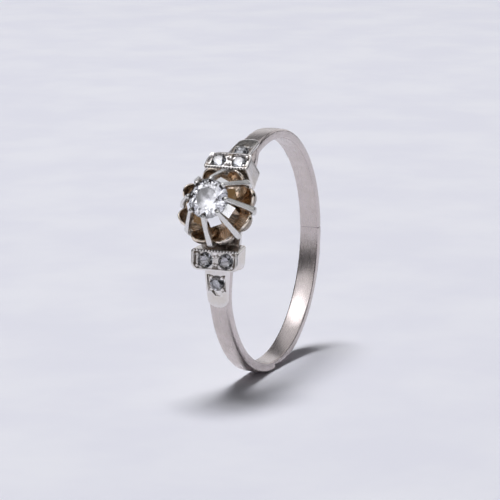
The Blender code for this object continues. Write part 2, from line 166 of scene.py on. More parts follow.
# the collet's facets painted brown as a painted reflection of the cup's brown inside, in pitches round the
# head
PAINTED_REFLECTION_FACETS = (-1.5, 3.5)


# ---------------------------------------------------------------- frames


def head_frame():
    """The head's own axes, read from the centre diamond, which is the same all round its axis."""
    corners = {tuple(round(c, 6) for c in v.co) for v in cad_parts["centre_diamond"].data.vertices}
    up = sum((Vector(c) for c in corners), Vector()).normalized()
    up.y = 0
    up.normalize()
    sideways = Vector((0, 1, 0))
    towards_upper = sideways.cross(up)
    return Matrix((towards_upper, sideways, up)).transposed().to_4x4()


HEAD = head_frame()
SIDES = {"upper": HEAD, "lower": HEAD @ Matrix.Rotation(math.pi, 4, "Z")}


def leaning(angle):
    """A turn round the finger's axis, from the head towards the upper arm for angles above 0."""
    return Matrix.Rotation(math.radians(angle), 4, "Y")


# ---------------------------------------------------------------- shapes: lists of points and faces


def eased(share):
    share = min(max(share, 0.0), 1.0)
    return share * share * (3 - 2 * share)


def loft(rings, closed=False):
    """A body through rings of points, with an end face on each side unless it closes on itself."""
    count, across = len(rings), len(rings[0])
    points = [Vector(p) for ring in rings for p in ring]
    faces = []
    for i in range(count if closed else count - 1):
        low, high = i * across, ((i + 1) % count) * across
        for j in range(across):
            k = (j + 1) % across
            faces.append((low + j, low + k, high + k, high + j))
    if not closed:
        faces.append(tuple(range(across)))
        faces.append(tuple(range((count - 1) * across, count * across)))
    return points, faces


def joined(*shapes):
    """Several shapes as one list of points and one of faces."""
    points, faces = [], []
    for more_points, more_faces in shapes:
        start = len(points)
        points += more_points
        faces += [tuple(start + i for i in face) for face in more_faces]
    return points, faces


def moved(shape, matrix):
    points, faces = shape
    return [matrix @ p for p in points], faces


def hull(points):
    """The smallest convex body round the points, with its flat faces whole."""
    bm = bmesh.new()
    for point in points:
        bm.verts.new(point)
    bmesh.ops.convex_hull(bm, input=bm.verts)
    bmesh.ops.dissolve_limit(bm, angle_limit=math.radians(1), verts=bm.verts, edges=bm.edges)
    bm.verts.index_update()
    shape = [v.co.copy() for v in bm.verts], [tuple(v.index for v in f.verts) for f in bm.faces]
    bm.free()
    return shape


def spread(count, start=0.0):
    """Evenly spaced angles all round."""
    return [start + 2 * math.pi * i / count for i in range(count)]


def ring_points(radius, height, count, start=0.0):
    return [Vector((radius * math.cos(a), radius * math.sin(a), height)) for a in spread(count, start)]


def bead(radius, place, squash=1.0, rings=6, around=10):
    """A small rounded grain."""
    levels = []
    for i in range(1, rings):
        turn = math.pi * i / rings
        r, h = radius * math.sin(turn), -radius * squash * math.cos(turn)
        levels.append(ring_points(r, h, around))
    return moved(loft(levels), Matrix.Translation(place))


def drum(radius, low, high, count=48):
    """A round bar along Z."""
    return loft([ring_points(radius, h, count) for h in (low, high)])


def finger_space(radius=FINGER_RADIUS):
    """The finger hole as a round bar, longer than the ring is wide."""
    return moved(drum(radius, -5, 5, 180), Matrix.Rotation(math.pi / 2, 4, "X"))


def arc(centre, radius, start, end, steps):
    """Points along a flat arc, from start to end in degrees."""
    turns = [math.radians(start + (end - start) * i / steps) for i in range(steps + 1)]
    return [(centre[0] + radius * math.cos(t), centre[1] + radius * math.sin(t)) for t in turns]


# ---------------------------------------------------------------- meshes


def mesh_of(shape):
    """A shape as a mesh whose faces point outwards."""
    mesh = bpy.data.meshes.new("shape")
    points, faces = shape
    mesh.from_pydata([tuple(p) for p in points], [], faces)
    bm = bmesh.new()
    bm.from_mesh(mesh)
    bmesh.ops.recalc_face_normals(bm, faces=bm.faces)
    bm.to_mesh(mesh)
    bm.free()
    return mesh


def carved(mesh, shapes):
    """The mesh with each shape cut out of it."""
    body = bpy.data.objects.new("body", mesh)
    bpy.context.scene.collection.objects.link(body)
    helpers = []
    for shape in shapes:
        helper = bpy.data.objects.new("helper", mesh_of(shape))
        bpy.context.scene.collection.objects.link(helper)
        helpers.append(helper)
        body.modifiers.new("cut", "BOOLEAN").object = helper
    graph = bpy.context.evaluated_depsgraph_get()
    result = bpy.data.meshes.new_from_object(body.evaluated_get(graph))
    for helper in [body, *helpers]:
        bpy.data.objects.remove(helper)
    return result


def along_band(point):
    """Distance round the finger, then across, then out."""
    angle = math.atan2(point.x, point.z)
    return angle * SHANK_RADIUS, point.y, math.hypot(point.x, point.z)


def round_head(point):
    """Height, then distance round the head, then out."""
    angle = math.atan2(point.y, point.x)
    return point.z, angle * 2.4, math.hypot(point.x, point.y)


def as_is(point):
    return tuple(point)


METALS = []


def piece(name, mesh, matrix, material, slot, nodes, flow=as_is, sharp=35.0, flat=False):
    """A mesh in millimetres in its own frame becomes a piece of the ring, whose scratches run along flow."""
    mesh.name = name
    lanes = np.array([flow(v.co) for v in mesh.vertices], np.float32)
    attribute = mesh.attributes.new("flow", "FLOAT_VECTOR", "POINT")
    attribute.data.foreach_set("vector", lanes.ravel())
    mesh.transform(Matrix.Scale(MM, 4) @ matrix)
    if flat:
        mesh.shade_flat()
    else:
        mesh.shade_smooth()
        mesh.set_sharp_from_angle(angle=math.radians(sharp))
    mesh.materials.clear()
    mesh.materials.append(material)
    obj = bpy.data.objects.new(name, mesh)
    bpy.context.scene.collection.objects.link(obj)
    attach(obj, "root")
    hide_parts(*nodes)
    if slot != "diamond":
        METALS.append(obj)
    return obj


# ---------------------------------------------------------------- materials


def shader(name):
    material = bpy.data.materials.new(name)
    material.use_nodes = True
    return material, material.node_tree, material.node_tree.nodes["Principled BSDF"]


def attribute_of(tree, name, output="Fac"):
    made = tree.nodes.new("ShaderNodeAttribute")
    made.attribute_name = name
    return made.outputs[output]


def maths(tree, operation, first, second, clamp=False):
    made = tree.nodes.new("ShaderNodeMath")
    made.operation = operation
    made.use_clamp = clamp
    for socket, value in zip(made.inputs, (first, second)):
        if isinstance(value, (int, float)):
            socket.default_value = value
        else:
            tree.links.new(value, socket)
    return made.outputs[0]


def ranged(tree, value, low, high, to_low=0.0, to_high=1.0):
    made = tree.nodes.new("ShaderNodeMapRange")
    made.interpolation_type = "SMOOTHSTEP"
    tree.links.new(value, made.inputs["Value"])
    for name, number in (("From Min", low), ("From Max", high), ("To Min", to_low), ("To Max", to_high)):
        made.inputs[name].default_value = number
    return made.outputs["Result"]


def tinted(tree, share, first, second):
    made = tree.nodes.new("ShaderNodeMix")
    made.data_type = "RGBA"
    tree.links.new(share, made.inputs["Factor"])
    for socket, value in ((made.inputs[6], first), (made.inputs[7], second)):
        if isinstance(value, tuple):
            socket.default_value = (*value, 1)
        else:
            tree.links.new(value, socket)
    return made.outputs[2]


def stretched_noise(tree, vector, stretch, scale, detail=3.0, rough=0.55):
    mapping = tree.nodes.new("ShaderNodeMapping")
    mapping.inputs["Scale"].default_value = stretch
    tree.links.new(vector, mapping.inputs["Vector"])
    made = tree.nodes.new("ShaderNodeTexNoise")
    made.inputs["Scale"].default_value = scale
    made.inputs["Detail"].default_value = detail
    made.inputs["Roughness"].default_value = rough
    tree.links.new(mapping.outputs["Vector"], made.inputs["Vector"])
    return made.outputs["Fac"]


# height of the scratches and specks
RELIEF_M = 0.000012


def gold(
    name,
    colour,
    warm,
    patina,
    roughness,
    dirt_range=(0.45, 0.9),
    bump=0.35,
    stretch=(0.5, 9, 9),
    streak=0.0,
    painted_shade_and_rub=(0.06, 0.052, 0.048),
):
    """Worn white gold, mottled between colour and warm, with scratches drawn out along the flow attribute.

    Patina sets in across dirt_range of the shelter attribute, more unevenly with streak. A per-point
    attribute lays painted shade in the shade colour above 0 and wears patina away below 0, and edges are
    brighter and smoother.
    """
    material, tree, surface = shader(name)
    lanes = attribute_of(tree, "flow", "Vector")
    sheltered = attribute_of(tree, "shelter")
    edge = attribute_of(tree, "edge")
    shade_and_rub_share = attribute_of(tree, "painted_shade_and_rub")
    scratches = stretched_noise(tree, lanes, stretch, 3.0, 4.0, 0.65)
    mottle = stretched_noise(tree, lanes, (1, 1, 1), 1.3, 3.0)
    speck = stretched_noise(tree, lanes, (1, 1, 1), 9.0, 2.0)

    base = tinted(tree, ranged(tree, mottle, 0.35, 0.70), colour, warm)
    bright = tuple(min(1.0, 1.08 * c) for c in colour)
    base = tinted(tree, maths(tree, "MULTIPLY", edge, 0.7), base, bright)

    spotted = maths(tree, "MULTIPLY", maths(tree, "SUBTRACT", speck, 0.5), 0.5)
    uneven = maths(tree, "ADD", sheltered, spotted)
    if streak:
        streaked = maths(tree, "MULTIPLY", maths(tree, "SUBTRACT", scratches, 0.5), streak)
        uneven = maths(tree, "ADD", uneven, streaked)
    uneven = maths(tree, "ADD", uneven, maths(tree, "MINIMUM", shade_and_rub_share, 0.0))
    dirt = ranged(tree, uneven, *dirt_range)
    base = tinted(tree, dirt, base, patina)

    # painted shade: the dark shade colour is laid on where the attribute is above 0, less on edges
    painted_shade_amount = maths(tree, "ADD", shade_and_rub_share, maths(tree, "MULTIPLY", edge, -0.5))
    painted_shade_amount = maths(tree, "MULTIPLY", painted_shade_amount, ranged(tree, speck, 0.25, 0.6, 0.55, 1.0), clamp=True)
    base = tinted(tree, painted_shade_amount, base, painted_shade_and_rub)
    tree.links.new(base, surface.inputs["Base Color"])

    rough = ranged(tree, scratches, 0.3, 0.7, roughness - 0.03, roughness + 0.05)
    rough = maths(tree, "ADD", rough, maths(tree, "MULTIPLY", dirt, 0.16))
    rough = maths(tree, "SUBTRACT", rough, maths(tree, "MULTIPLY", edge, 0.06), clamp=True)
    tree.links.new(rough, surface.inputs["Roughness"])
    metallic = maths(tree, "SUBTRACT", 1.0, maths(tree, "MULTIPLY", dirt, 0.25))
    tree.links.new(metallic, surface.inputs["Metallic"])

    relief = tree.nodes.new("ShaderNodeBump")
    relief.inputs["Strength"].default_value = bump
    relief.inputs["Distance"].default_value = RELIEF_M
    height = maths(tree, "ADD", scratches, maths(tree, "MULTIPLY", speck, 0.35))
    tree.links.new(height, relief.inputs["Height"])
    tree.links.new(relief.outputs["Normal"], surface.inputs["Normal"])
    return material


def stone(name, colour, roughness, film, worn_top=0.0):
    """Diamond with a thin, patchy film of wear and skin oil, and a flat top rubbed duller than its facets."""
    material, tree, surface = shader(name)
    place = tree.nodes.new("ShaderNodeTexCoord").outputs["Object"]
    cloud = stretched_noise(tree, place, (1, 1, 1), 1400.0, 2.0)
    surface.inputs["IOR"].default_value = 2.417
    surface.inputs["Transmission Weight"].default_value = 1.0
    filmed = tinted(tree, ranged(tree, cloud, 0.35, 0.7), colour, film)
    tree.links.new(filmed, surface.inputs["Base Color"])
    patchy = ranged(tree, cloud, 0.4, 0.75, roughness, roughness + 0.03)
    top = ranged(tree, attribute_of(tree, "top"), 0.96, 1.0, 0.0, worn_top)
    tree.links.new(maths(tree, "ADD", patchy, top), surface.inputs["Roughness"])
    return material


shank_gold = gold(
    "shank_gold",
    colour=(0.64, 0.575, 0.56),
    warm=(0.58, 0.52, 0.495),
    patina=(0.22, 0.155, 0.10),
    roughness=0.28,
    bump=0.12,
)
setting_gold = gold(
    "setting_gold",
    colour=(0.80, 0.77, 0.75),
    warm=(0.74, 0.69, 0.63),
    patina=(0.17, 0.135, 0.105),
    roughness=0.20,
    dirt_range=(0.52, 0.9),
)
claw_gold = gold(
    "claw_gold",
    colour=(0.76, 0.75, 0.73),
    warm=(0.70, 0.68, 0.65),
    patina=(0.26, 0.19, 0.12),
    roughness=0.30,
    dirt_range=(0.6, 1.1),
)
cup_gold = gold(
    "cup_gold",
    colour=(0.88, 0.80, 0.71),
    warm=(0.84, 0.68, 0.50),
    patina=(0.95, 0.72, 0.52),
    roughness=0.15,
    dirt_range=(0.10, 0.80),
    bump=0.5,
    stretch=(0.12, 1.3, 0.12),
    streak=1.1,
)
collet_gold = gold(
    "collet_gold",
    colour=(0.93, 0.93, 0.95),
    warm=(0.90, 0.89, 0.90),
    patina=(0.30, 0.19, 0.10),
    roughness=0.08,
    dirt_range=(0.55, 0.95),
    bump=0.1,
    # brown that the collet's painted-reflection facets are painted
    painted_shade_and_rub=(0.22, 0.13, 0.055),
)
clear_stone = stone(
    "centre_diamond", colour=(0.95, 0.95, 0.98), roughness=0.0, film=(0.88, 0.88, 0.93), worn_top=0.24
)
grey_stone = stone("small_diamond", colour=(0.80, 0.82, 0.87), roughness=0.01, film=(0.62, 0.63, 0.68))


# ---------------------------------------------------------------- shank and shoulders


def band_outline(inner, outer, half, inner_round, outer_round, crown=0.0):
    """Closed outline as radius and width, with rounded corners and an outside that rises by crown."""
    outline = []
    outline += arc((inner + inner_round, -half + inner_round), inner_round, 180, 270, 4)
    outline += arc((outer - outer_round, -half + outer_round), outer_round, 270, 360, 5)
    flat = half - outer_round
    for i in range(1, 8):
        y = flat * (2 * i / 8 - 1)
        outline.append((outer, y))
    outline += arc((outer - outer_round, half - outer_round), outer_round, 0, 90, 5)
    outline += arc((inner + inner_round, half - inner_round), inner_round, 90, 180, 4)
    domed = []
    for r, y in outline:
        share = 1 - (y / half) ** 2
        domed.append((r + crown * share * (r - inner) / (outer - inner), y))
    return domed


def band(angles, inner, outer_at, half_at, rounds, drift_at=lambda angle: 0.0):
    """A stretch of shank whose outside and sides have worn unevenly; rounds are its corners' radii."""
    rings = []
    for angle in angles:
        turn = math.radians(angle)
        outer, half = outer_at(angle), half_at(angle)
        ring = []
        for r, y in band_outline(inner, outer, half, *rounds, BAND_CROWN):
            direction = Vector((math.sin(turn), 0, math.cos(turn)))
            place = direction * r + Vector((0, y + drift_at(angle), 0))
            share = (r - inner) / (outer - inner)
            dent = noise.noise(place * 0.9) + 0.4 * noise.noise(place * 2.6)
            place -= direction * BAND_WEAR * share * (0.5 + 0.5 * dent)
            place.y *= 1 - 0.25 * BAND_WEAR * (1 + noise.noise(place * 0.7))
            ring.append(place)
        rings.append(ring)
    return loft(rings)


def angle_steps(start, end, step):
    count = max(2, round(abs(end - start) / step))
    return [start + (end - start) * i / count for i in range(count + 1)]


def past_shoulder(angle):
    """0 under the block, 1 where the shank has its full narrowness."""
    return eased((angle - BLOCK_ANGLE) / (SHOULDER_NARROW_END - BLOCK_ANGLE))


def half_width(angle):
    return (SHOULDER_WIDTH + (SHANK_WIDTH - SHOULDER_WIDTH) * past_shoulder(angle)) / 2


def drift(angle):
    """How far the shoulder's middle lies to the side of the shank's."""
    return SHOULDER_DRIFT * (1 - past_shoulder(angle))


def shoulder_seat():
    """The frame of the shoulder's stone, in the head's frame."""
    return Matrix.Translation((0, drift(SHOULDER_STONE_ANGLE), 0)) @ leaning(SHOULDER_STONE_ANGLE)


def worn_end(angle, end, depth=0.03, reach=0.7):
    """How far the metal is rounded over at a soldered end."""
    share = max(0.0, 1 - abs(angle - end) / reach)
    return depth * share * share


def junction_flare(angle):
    """Solder fillet that widens the arm where it runs into its block."""
    return UPPER_ARM_FLARE * eased((42 - angle) / 15)


def arm(end, flared):
    """An arm from its block to its soldered end, with a light hole under the shoulder's stone."""
    angles = angle_steps(BLOCK_ANGLE + 2.0, end - 1.2, 1.2) + [end - 0.7, end - 0.4, end - 0.15, end]

    def outer(angle):
        return SHANK_RADIUS - worn_end(angle, end)

    def half(angle):
        fillet = junction_flare(angle) if flared else 0.0
        return half_width(angle) - worn_end(angle, end, 0.02) + fillet

    shape = band(angles, FINGER_RADIUS, outer, half, ARM_ROUNDS, drift)
    hole = drum(STONE_HOLE_RADIUS, 7.5, 10.5, 32)
    return carved(mesh_of(shape), [moved(hole, shoulder_seat())])


def insert():
    """The sizing insert, thinner where it meets the lower arm."""
    start, end = -LOWER_ARM_END - 0.13, UPPER_ARM_END - 360 + 0.13

    def outer(angle):
        rise = eased((start - angle) / WORN_SEAM_REACH)
        full = WORN_SEAM_RADIUS + (SHANK_RADIUS - WORN_SEAM_RADIUS) * rise
        return full - worn_end(angle, end) - worn_end(angle, start)

    def half(angle):
        return SHANK_WIDTH / 2 - worn_end(angle, end, 0.02)

    angles = [start, start - 0.15, start - 0.4] + angle_steps(start - 0.7, end + 0.7, 1.2)
    angles += [end + 0.4, end + 0.15, end]
    return mesh_of(band(angles, FINGER_RADIUS, outer, half, INSERT_ROUNDS))


def rectangle(back, front, half, height):
    corners = ((front, -half), (front, half), (back, half), (back, -half))
    return [Vector((x, y, height)) for x, y in corners]


def shoulder_section(angle, top, half, soft):
    """Outline of the shoulder plate across the shank, with rounded upper edges."""
    turn = math.radians(angle)
    direction = Vector((math.sin(turn), 0, math.cos(turn)))
    bottom = SHANK_RADIUS - 0.05
    outline = [(bottom, -half), (top - soft, -half)]
    outline += arc((top - soft, -half + soft), soft, 270, 360, 4)[1:]
    outline += [(top, y * (half - soft) / 3) for y in (-2, -1, 0, 1, 2)]
    outline += arc((top - soft, half - soft), soft, 0, 90, 4)
    outline += [(bottom, half)]
    return [direction * r + Vector((0, y + drift(angle), 0)) for r, y in outline]


def shoulder():
    """A plate with a rounded tip and softened edges, a square bright-cut recess, grains and a stone seat."""
    rings = []
    for angle in angle_steps(BLOCK_ANGLE + 2, SHOULDER_TIP_START, 1.0):
        fall = eased((angle - BLOCK_ANGLE) / (SHOULDER_END - BLOCK_ANGLE))
        top = SHOULDER_TOP + (SHOULDER_TIP - SHOULDER_TOP) * fall
        rings.append(shoulder_section(angle, top, half_width(angle), 0.07))
    for i in range(1, 9):
        share = math.sin(math.pi / 2 * i / 8)
        angle = SHOULDER_TIP_START + (SHOULDER_END - SHOULDER_TIP_START) * share
        half = max(0.12, half_width(angle) * math.sqrt(max(0, 1 - share * share)))
        rings.append(shoulder_section(angle, SHOULDER_TIP - 0.05 * share**3, half, 0.05))

    plate = SHOULDER_TOP - SHOULDER_PLATE_DROP
    floor, above = plate - SHOULDER_RECESS_DEPTH, plate + 0.3
    recess = loft([rectangle(-0.66, 0.60, 0.70, floor), rectangle(-0.76, 0.78, 0.82, above)])
    notch = loft([
        [(0.50, -0.56, h), (0.50, 0.56, h), (0.98, 0.18, h), (0.98, -0.18, h)]
        for h in (plate - SHOULDER_NOTCH_DEPTH, above)
    ])
    seat = drum(SHOULDER_STONE_RADIUS + 0.05, 9.34, 11)
    mesh = carved(mesh_of(loft(rings)), [moved(shape, shoulder_seat()) for shape in (recess, notch, seat)])
    grains = [corner_grain(x, y, floor, 0.17, 0.43) for x in (-1, 1) for y in (-1, 1)]
    return with_details(mesh, moved(joined(*grains), shoulder_seat()))


def corner_grain(x, y, floor, radius, reach, tail=0.26):
    """A grain pushed over a stone's edge, with the tapered sliver that the graver raised it from."""
    head = Vector((x * reach, y * reach, floor + 0.05))
    out = Vector((x, y, 0)).normalized()
    across = Vector((-out.y, out.x, 0))
    base = Vector((0, 0, -0.08))
    crest = Vector((0, 0, 0.05))
    end = head + out * (radius + tail)
    wedge = hull([
        head + across * radius * 0.8 + base,
        head - across * radius * 0.8 + base,
        head + across * radius * 0.45 + crest,
        head - across * radius * 0.45 + crest,
        end + base,
        end + Vector((0, 0, -0.03)),
    ])
    return joined(bead(radius, head, 0.85), wedge)


def with_details(mesh, shape):
    """The same mesh with more closed shapes sunk into it."""
    bm = bmesh.new()
    bm.from_mesh(mesh)
    bm.from_mesh(mesh_of(shape))
    result = bpy.data.meshes.new("detailed")
    bm.to_mesh(result)
    bm.free()
    return result


def shade_and_rub_marked(mesh, share_at):
    """The same mesh with each point's share of painted shade, below 0 where the metal is rubbed clean."""
    attribute = mesh.attributes.new("painted_shade_and_rub", "FLOAT", "POINT")
    shares = np.array([share_at(index, v.co) for index, v in enumerate(mesh.vertices)], np.float32)
    attribute.data.foreach_set("value", shares)
    return mesh


# ---------------------------------------------------------------- blocks


def block_outline(back, front, half, height, back_round=0.18, front_round=0.62, far_round=None):
    """A rounded rectangle; far_round rounds its front corner at the +Y end more than the other."""
    points = []
    for (x, y), radius, start in (
        ((back, -half), back_round, 180),
        ((front, -half), front_round, 270),
        ((front, half), far_round or front_round, 0),
        ((back, half), back_round, 90),
    ):
        middle = (x - math.copysign(radius, x), y - math.copysign(radius, y))
        points += [Vector((*p, height)) for p in arc(middle, radius, start, start + 90, 9)]
    return points


def softened(mesh, voxel, passes):
    """The same body with its edges rubbed round by wear."""
    body = bpy.data.objects.new("body", mesh)
    bpy.context.scene.collection.objects.link(body)
    body.modifiers.new("even", "REMESH").voxel_size = voxel
    rub = body.modifiers.new("rub", "SMOOTH")
    rub.iterations = passes
    rub.factor = 0.5
    result = bpy.data.meshes.new_from_object(body.evaluated_get(bpy.context.evaluated_depsgraph_get()))
    bpy.data.objects.remove(body)
    return result


def cusp(base, tip, floor):
    """A bright-cut sliver of plate that slopes from the rim down to a tip beside the stones."""
    points = [Vector((x, y, z)) for x, y in base for z in (floor - 0.1, BLOCK_TOP - 0.025)]
    points += [Vector((*tip, floor - 0.1)), Vector((*tip, floor + 0.05))]
    return hull(points)


def block_body(side):
    """The plain block: it spreads towards the finger, and its edges are rubbed round."""
    half, flare = BLOCK_HALF_WIDTHS[side], BLOCK_SIDE_FLARES[side]
    rings = []
    for share in (1, 0.75, 0.5, 0.25, 0):
        depth = BLOCK_DEPTH * share
        back = -BLOCK_HALF_LENGTH - BLOCK_FLARE * depth
        size = (back, BLOCK_HALF_LENGTH, half + flare * depth)
        rings.append(block_outline(*size, BLOCK_TOP - depth, far_round=BLOCK_FAR_ROUNDS[side]))
    return softened(carved(mesh_of(loft(rings)), [finger_space()]), BLOCK_WEAR_VOXEL, BLOCK_WEAR_PASSES)


def block_recess(half, floor, far_round):
    """The sunk field that both stones sit in, a little wider at its mouth."""
    floor_round = far_round and far_round - 0.18
    mouth_round = far_round and far_round - 0.16
    at_floor = (RECESS_BACK + 0.03, RECESS_FRONT - 0.06, half - 0.03, floor)
    at_mouth = (RECESS_BACK - 0.02, RECESS_FRONT - 0.01, half + 0.02, BLOCK_TOP + 0.05)
    return loft([
        block_outline(*at_floor, 0.10, 0.36, floor_round),
        block_outline(*at_mouth, 0.10, 0.38, mouth_round),
    ])


def milgrain_step(reach):
    """What is cut from the top edge towards the head, which leaves a step for the beads."""
    outer, inner = -BLOCK_HALF_LENGTH - 0.2, -BLOCK_HALF_LENGTH + MILGRAIN_STEP_EDGE
    low, high = BLOCK_TOP - MILGRAIN_STEP, BLOCK_TOP + 0.1
    corners = ((outer, low), (inner, low), (inner, high), (outer, high))
    return loft([[(x, y, z) for x, z in corners] for y in (-reach, reach)])


def milgrain(reach):
    """A row of beads along the step."""
    x, z = -BLOCK_HALF_LENGTH + 0.02, BLOCK_TOP - 0.07
    places = [(i / (MILGRAIN_BEADS - 1) - 0.5) * 2 * (reach - 0.06) for i in range(MILGRAIN_BEADS)]
    return [bead(MILGRAIN_RADIUS, (x, y, z), 1.0, 8, 12) for y in places]


def block_grains(half, floor):
    """Slivers and grains between the two stones and in the recess's corners."""
    height = floor + GRAIN_LIFT
    shapes = []
    for x, rim in ((-1, -RECESS_BACK), (1, RECESS_FRONT)):
        shapes.append(cusp([(x * rim, -0.24), (x * rim, 0.24)], (x * 0.20, 0.0), floor))
        shapes.append(bead(0.14, (x * 0.27, -0.11, height)))
        shapes.append(bead(0.13, (x * 0.31, 0.13, height)))
        for y in (-1, 1):
            corner = [(x * rim, y * (half - 0.30)), (x * rim, y * half), (x * 0.26, y * half)]
            shapes.append(cusp(corner, (x * 0.44, y * (half - 0.26)), floor))
            shapes.append(bead(0.15, (x * 0.42, y * (half - 0.25), height)))
    return shapes


def block(side):
    """A shoulder block with its recess, milgrain step, stone seats, light holes, grains and beads."""
    recess_half = min(RECESS_HALF_LIMIT, BLOCK_HALF_WIDTHS[side] - RECESS_RIM)
    step_reach = min(MILGRAIN_HALF_LIMIT, BLOCK_HALF_WIDTHS[side] - MILGRAIN_RIM)
    floor = BLOCK_TOP - RECESS_DEPTH
    cuts = [block_recess(recess_half, floor, BLOCK_FAR_ROUNDS[side]), milgrain_step(step_reach)]
    hole = drum(STONE_HOLE_RADIUS, 5, BLOCK_TOP, 32)
    seat = drum(BLOCK_STONE_RADIUS + SEAT_GAP, BLOCK_STONE_BASE - SEAT_GAP, 11, 40)
    for y in (-BLOCK_STONE_OFFSET, BLOCK_STONE_OFFSET):
        cuts += [moved(shape, Matrix.Translation((0, y, 0))) for shape in (hole, seat)]
    details = block_grains(recess_half, floor) + milgrain(step_reach)
    mesh = with_details(carved(block_body(side), cuts), joined(*details))

    def share_at(index, point):
        """The step that the milgrain stands in is painted dark as painted shade between the beads."""
        on_step = abs(point.z - BLOCK_TOP + MILGRAIN_STEP) < 0.004
        return 1.3 if on_step and point.x < -BLOCK_HALF_LENGTH + 0.09 else 0.0

    return shade_and_rub_marked(mesh, share_at)


# ---------------------------------------------------------------- head


def bridge():
    """The strap under the head, from block to block, with a light hole."""
    rings = []
    reach = BLOCK_ANGLE - 6.2
    for angle in angle_steps(-reach, reach, 1.5):
        turn = math.radians(angle)
        outline = band_outline(FINGER_RADIUS, BRIDGE_RADIUS, BRIDGE_HALF_WIDTH, 0.05, 0.08)
        rings.append([Vector((r * math.sin(turn), y, r * math.cos(turn))) for r, y in outline])
    return carved(mesh_of(loft(rings)), [drum(BORE_RADIUS, 5, 11)])


def base_ring():
    """The short tube that carries the cup on the bridge, with a rounded bulge under the cup."""
    # radius, height
    profile = [(1.05, 8.70), (1.65, 8.70), (1.65, 8.92)]
    profile += [(1.62 + 0.10 * math.sin(t * math.pi / 6), 8.92 + 0.035 * t) for t in range(1, 7)]
    profile += [(1.58, 9.16), (1.05, 9.16)]
    rings = [[(r * math.cos(a), r * math.sin(a), h) for r, h in profile] for a in spread(72)]
    return carved(mesh_of(loft(rings, closed=True)), [finger_space(FINGER_RADIUS + 0.10)])


def profile_at(share):
    """Height, petal radius, slot radius and arch, from the foot (0) to the lip (1)."""
    stations = np.linspace(0, 1, len(CUP_PROFILE))
    return [float(np.interp(share, stations, column)) for column in zip(*CUP_PROFILE)]


def petal_radius(angle, middle, slot):
    """Distance from the axis to a round petal: middle at its centre line, slot where it meets its slots."""
    half = PITCH / 2 - SLOT_HALF
    rise = middle - slot * math.cos(half)
    bow = (rise**2 + (slot * math.sin(half)) ** 2) / (2 * rise)
    off = angle % PITCH - PITCH / 2
    centre = middle - bow
    return centre * math.cos(off) + math.sqrt(bow**2 - (centre * math.sin(off)) ** 2)


def cup_angles():
    """Angles round the cup, each with how far it is from its petal's middle: 0 there, 1 at a slot."""
    angles = []
    for i in range(PETALS):
        slot, middle = i * PITCH, (i + 0.5) * PITCH
        angles += [(slot + share * SLOT_HALF, 1.0) for share in (-0.8, 0, 0.8)]
        angles += [(middle + (k / 10 - 1) * (PITCH / 2 - SLOT_HALF), abs(k / 10 - 1)) for k in range(21)]
    return angles


def cup():
    """A thin shell of arched flutes with round worn lips, and a floor that runs in to the collet."""
    angles = cup_angles()
    shares = [i / 18 for i in range(19)]
    levels = [(share, 0.0, 0.0) for share in shares]
    levels += [(1.0, CUP_WALL / 2 * (1 - math.cos(t)), CUP_LIP * math.sin(t)) for t in spread(16)[1:8]]
    levels += [(share, CUP_WALL, 0.0) for share in reversed(shares[3:])]

    def foot(height):
        radius = CUP_FOOT_RADIUS
        return [Vector((radius * math.cos(a), radius * math.sin(a), height)) for a, _ in angles]

    rings = [foot(CUP_BOTTOM)]
    for share, inset, lift in levels:
        height, middle, slot, arch = profile_at(share)
        ring = []
        for angle, edge in angles:
            on_petal = abs((angle + PITCH / 2) % PITCH - PITCH / 2) > SLOT_HALF * 0.9
            radius = (petal_radius(angle, middle, slot) if on_petal else slot) - inset
            rise = arch * max(0.0, 1 - edge**2) + lift
            ring.append(Vector((radius * math.cos(angle), radius * math.sin(angle), height + rise)))
        rings.append(ring)
    rings.append(foot(CUP_BOTTOM + 0.09))
    lip_levels = range(len(shares), len(shares) + 9)

    def share_at(index, point):
        """The outside below the lip is painted dark as painted shade, the lip is rubbed clean, and painted
        shade deepens towards the inside's +Y side.
        """
        level = index // len(angles)
        if level in lip_levels:
            return -0.7
        if level < lip_levels.start:
            return 0.9
        return 0.5 * eased((point.y / math.hypot(point.x, point.y) + 0.05) / 0.5)

    return shade_and_rub_marked(mesh_of(loft(rings, closed=True)), share_at)


def collet():
    """Bright illusion facets round the stone, one between each two claws, with notches behind the claws."""
    levels = (
        # height, radius to a facet's middle, half the facet's width, radius in the notch
        (12.02, 1.40, 0.36, 1.30),
        (11.99, 1.44, 0.40, 1.32),
        (11.53, 1.90, 0.45, 1.52),
        (11.48, 1.91, 0.45, 1.53),
        (11.30, 1.72, 0.44, 1.46),
        (10.20, 1.50, 0.42, 1.36),
        (9.17, 1.37, 0.40, 1.26),
        (9.17, 1.05, 0.36, 1.05),
        (11.60, 1.05, 0.36, 1.05),
        (12.02, 1.30, 0.36, 1.24),
    )
    rings = []
    for height, radius, half, notch in levels:
        ring = []
        for i in range(PETALS):
            middle = (i + 0.5) * PITCH
            for y in (-half, 0, half):
                ring.append(Matrix.Rotation(middle, 3, "Z") @ Vector((radius, y, height)))
            for turn in ((i + 1) * PITCH - 0.10, (i + 1) * PITCH + 0.10):
                ring.append(Vector((notch * math.cos(turn), notch * math.sin(turn), height)))
        rings.append(ring)

    def share_at(index, point):
        """Two facets are painted brown: a painted reflection of the cup's brown inside."""
        turn = math.atan2(point.y, point.x) / PITCH
        return 1.8 * max(max(0.0, 1 - (2 * abs(turn - painted_facet)) ** 8) for painted_facet in PAINTED_REFLECTION_FACETS)

    return shade_and_rub_marked(mesh_of(loft(rings, closed=True)), share_at)


def smooth_path(points, steps):
    """A Catmull-Rom curve through the points."""
    padded = [points[0], *points, points[-1]]
    path = []
    for a, b, c, d in zip(padded, padded[1:], padded[2:], padded[3:]):
        for i in range(steps):
            t = i / steps
            path.append(0.5 * ((2 * b) + (c - a) * t + (2 * a - 5 * b + 4 * c - d) * t**2
                               + (3 * b - a - 3 * c + d) * t**3))
    path.append(points[-1])
    return path


